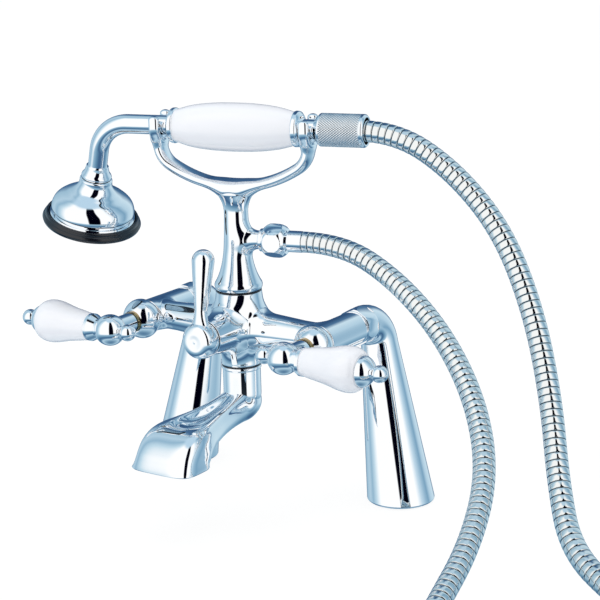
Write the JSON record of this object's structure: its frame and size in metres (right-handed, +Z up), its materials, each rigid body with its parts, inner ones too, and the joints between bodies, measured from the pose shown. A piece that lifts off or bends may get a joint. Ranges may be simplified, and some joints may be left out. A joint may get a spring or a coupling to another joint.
{
  "type": "bath shower mixer",
  "caption": "Deck-mounted bath shower mixer with porcelain levers, diverter, spout, cradled handset and metal hose.",
  "frame": {"origin": "on the deck, midway between the two leg sockets", "axes": "+X across from the left leg to the right leg, +Z up, -Y the way the spout points"},
  "size_m": [0.527, 0.3168, 0.265],
  "materials": {
    "chrome": "polished",
    "knurled_chrome": "knurled satin",
    "porcelain": "glazed",
    "brass": "machined",
    "disc_ceramic": "lapped",
    "rubber": "smooth",
    "steel": "machined",
    "rose_steel": "satin",
    "plastic": "moulded",
    "hose_steel": "bright"
  },
  "bodies": {
    "root": {"left_leg": "chrome", "left_union_nut": "chrome", "left_valve_bonnet": "chrome", "right_leg": "chrome", "right_union_nut": "chrome", "right_valve_bonnet": "chrome", "mixer_body": "chrome", "riser_cradle": "chrome", "spout": "chrome", "hose_nut": "chrome", "hose_end_sleeve": "chrome", "left_cartridge": "brass", "left_gland_nut": "brass", "right_cartridge": "brass", "right_gland_nut": "brass", "diverter_cartridge": "brass", "diverter_retaining_ring": "brass", "left_fixed_disc": "disc_ceramic", "right_fixed_disc": "disc_ceramic", "left_union_washer": "rubber", "right_union_washer": "rubber", "riser_washer": "rubber", "hose_washer": "rubber", "spout_washer": "rubber", "flow_straightener": "plastic", "hose_upper_run": "hose_steel", "hose_lower_run": "hose_steel", "hose_coil": "hose_steel"},
    "left_handle": {"left_spindle": "brass", "left_moving_disc": "disc_ceramic", "left_lever_hub": "chrome", "left_finial_screw": "chrome", "left_porcelain_lever": "porcelain", "left_lever_rod": "steel", "left_end_cap": "chrome"},
    "right_handle": {"right_spindle": "brass", "right_moving_disc": "disc_ceramic", "right_lever_hub": "chrome", "right_finial_screw": "chrome", "right_porcelain_lever": "porcelain", "right_lever_rod": "steel", "right_end_cap": "chrome"},
    "diverter": {"diverter_lever": "chrome", "diverter_spindle": "brass", "diverter_disc": "disc_ceramic", "diverter_grub_screw": "steel"},
    "handset": {"gooseneck": "chrome", "grip_tube": "chrome", "left_grip_ferrule": "chrome", "right_grip_ferrule": "chrome", "porcelain_grip": "porcelain", "knurled_sleeve": "knurled_chrome", "head_collar": "chrome", "head_bell": "chrome", "rose_plate": "rose_steel", "rubber_ring": "rubber"}
  },
  "joints": [
    {"name": "left_handle_turn", "type": "hinge", "parent": "root", "child": "left_handle", "pos_m": [-0.0685, -0.09, 0.119], "axis": [0, 1, 0], "range_deg": [-90, 0]},
    {"name": "right_handle_turn", "type": "hinge", "parent": "root", "child": "right_handle", "pos_m": [0.0685, -0.09, 0.119], "axis": [0, 1, 0], "range_deg": [0, 90]},
    {"name": "diverter_turn", "type": "hinge", "parent": "root", "child": "diverter", "pos_m": [0, -0.09, 0.1195], "axis": [0, 1, 0], "range_deg": [0, 80]},
    {"name": "handset_lift", "type": "slide", "parent": "root", "child": "handset", "axis": [0, 0, 1], "range_m": [0, 0.045], "deforming": ["hose_upper_run"]}
  ]
}
